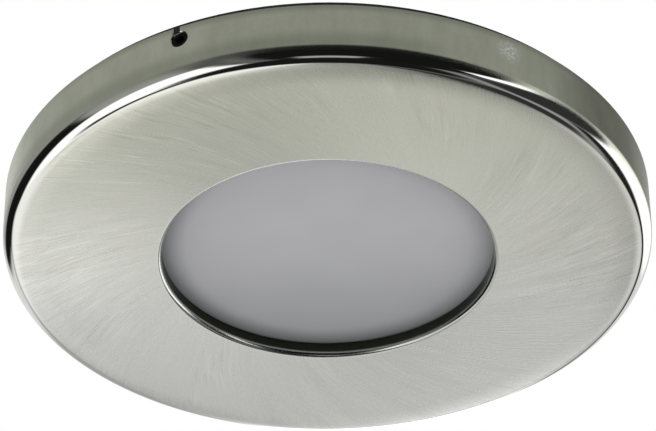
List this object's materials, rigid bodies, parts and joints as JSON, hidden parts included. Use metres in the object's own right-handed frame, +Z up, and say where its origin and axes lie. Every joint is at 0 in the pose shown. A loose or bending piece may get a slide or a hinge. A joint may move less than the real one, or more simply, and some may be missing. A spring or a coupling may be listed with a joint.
{
  "type": "soffit downlight",
  "caption": "Round soffit downlight: brushed metal trim with a recessed frosted lens, finned cast housing, sprung mounting clips and a cable gland on the back.",
  "frame": {"origin": "middle of the soffit's underside, on the light's axis", "axes": "+Z up into the soffit along the light's axis, the light shines along -Z, the clips lie at +X and -X"},
  "size_m": [0.1, 0.1, 0.042],
  "materials": {
    "satin_nickel": "brushed and nickel plated",
    "frosted_glass": "acid-frosted",
    "cast_housing": "as cast, fine blasted",
    "silicone": "matt",
    "black_rubber": "closed-cell foam and moulded rubber",
    "thermal_pad": "matt",
    "white_board": "white solder mask",
    "phosphor": "satin",
    "white_reflector": "white",
    "green_board": "green solder mask",
    "lead_insulation": "satin",
    "bobbin": "moulded",
    "ferrite": "sintered",
    "capacitor_sleeve": "sleeved",
    "terminal_plastic": "moulded",
    "zinc_steel": "zinc plated",
    "gland_nylon": "moulded nylon",
    "spring_wire": "drawn stainless wire",
    "spring_strip": "rolled stainless strip",
    "black_steel": "black oxide"
  },
  "bodies": {
    "housing": {"base_casting": "cast_housing", "soffit_gasket": "black_rubber", "thermal_pad": "thermal_pad", "led_board": "white_board", "led_chips": "phosphor", "led_board_screws": "zinc_steel", "reflector": "white_reflector", "led_leads": "lead_insulation", "driver_board": "green_board", "driver_screws": "zinc_steel", "transformer_bobbin": "bobbin", "transformer_core": "ferrite", "driver_capacitors": "capacitor_sleeve", "rectifier": "bobbin", "terminal_block": "terminal_plastic", "terminal_screws": "zinc_steel", "rear_gasket": "silicone", "rear_cover": "cast_housing", "rear_cover_screws": "zinc_steel", "gland_body": "gland_nylon", "gland_seal": "silicone", "gland_cap": "gland_nylon", "gland_locknut": "gland_nylon", "clip_brackets": "zinc_steel", "clip_pins": "zinc_steel", "clip_rivets": "zinc_steel", "clip_spring_right": "spring_wire", "clip_spring_left": "spring_wire"},
    "cover": {"trim_cover": "satin_nickel", "lens": "frosted_glass", "lens_gasket": "silicone", "lens_retaining_ring": "zinc_steel", "retaining_nuts": "zinc_steel", "cover_seal": "silicone"},
    "lock_1": {"lock_screw_1": "black_steel"},
    "lock_2": {"lock_screw_2": "black_steel"},
    "lock_3": {"lock_screw_3": "black_steel"},
    "clip_right": {"clip_arm_right": "spring_strip", "clip_pad_right": "black_rubber"},
    "clip_left": {"clip_arm_left": "spring_strip", "clip_pad_left": "black_rubber"}
  },
  "joints": [
    {"name": "cover_slide", "type": "slide", "parent": "housing", "child": "cover", "axis": [0, 0, -1], "range_m": [0, 0.03]},
    {"name": "lock_screw_1_wind", "type": "slide", "parent": "housing", "child": "lock_1", "axis": [0.4226, 0.9063, 0], "range_m": [0, 0.0016]},
    {"name": "lock_screw_2_wind", "type": "slide", "parent": "housing", "child": "lock_2", "axis": [-0.9962, -0.0872, 0], "range_m": [0, 0.0016]},
    {"name": "lock_screw_3_wind", "type": "slide", "parent": "housing", "child": "lock_3", "axis": [0.5736, -0.8192, 0], "range_m": [0, 0.0016]},
    {"name": "clip_right_fold", "type": "hinge", "parent": "housing", "child": "clip_right", "pos_m": [0.0334, 0, 0.006], "axis": [0, -1, 0], "range_deg": [0, 100], "stiffness_Nm_per_rad": 0.01, "springref_deg": -85.94, "deforming": ["clip_spring_right"]},
    {"name": "clip_left_fold", "type": "hinge", "parent": "housing", "child": "clip_left", "pos_m": [-0.0334, 0, 0.006], "axis": [0, 1, 0], "range_deg": [0, 100], "stiffness_Nm_per_rad": 0.01, "springref_deg": -85.94, "deforming": ["clip_spring_left"]}
  ]
}
